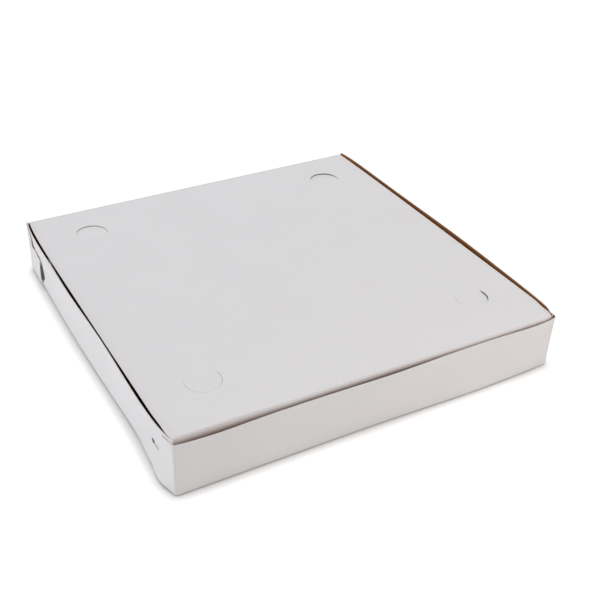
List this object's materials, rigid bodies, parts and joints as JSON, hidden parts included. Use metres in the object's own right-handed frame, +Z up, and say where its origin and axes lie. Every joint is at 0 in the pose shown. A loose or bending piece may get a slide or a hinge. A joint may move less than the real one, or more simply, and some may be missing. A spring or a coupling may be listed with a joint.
{
  "type": "pizza box",
  "caption": "Square white paperboard pizza box, folded from one sheet, with tongue-and-slit corner locks, a tuck-front hinged lid and half-moon stacking tabs.",
  "frame": {"origin": "middle of the underside of the base, where the box stands", "axes": "+Z up, -Y to the front wall with the tuck flap, +Y to the hinge fold, +X to the right seen from the front"},
  "size_m": [0.3048, 0.3048, 0.0457],
  "materials": {
    "coated_board": "matte"
  },
  "bodies": {
    "tray": {"tray": "coated_board"},
    "lid": {"lid": "coated_board"},
    "tab_front_left": {"stacking_tab_front_left": "coated_board"},
    "tab_front_right": {"stacking_tab_front_right": "coated_board"},
    "tab_back_left": {"stacking_tab_back_left": "coated_board"},
    "tab_back_right": {"stacking_tab_back_right": "coated_board"}
  },
  "joints": [
    {"name": "lid_fold", "type": "hinge", "parent": "tray", "child": "lid", "pos_m": [0, 0.1524, 0.04445], "axis": [-1, 0, 0], "range_deg": [0, 175]},
    {"name": "tab_fold_front_left", "type": "hinge", "parent": "lid", "child": "tab_front_left", "pos_m": [-0.11, -0.098, 0.04445], "axis": [-1, 0, 0], "range_deg": [0, 90]},
    {"name": "tab_fold_front_right", "type": "hinge", "parent": "lid", "child": "tab_front_right", "pos_m": [0.11, -0.098, 0.04445], "axis": [-1, 0, 0], "range_deg": [0, 90]},
    {"name": "tab_fold_back_left", "type": "hinge", "parent": "lid", "child": "tab_back_left", "pos_m": [-0.11, 0.1055, 0.04445], "axis": [1, 0, 0], "range_deg": [0, 90]},
    {"name": "tab_fold_back_right", "type": "hinge", "parent": "lid", "child": "tab_back_right", "pos_m": [0.11, 0.1055, 0.04445], "axis": [1, 0, 0], "range_deg": [0, 90]}
  ]
}
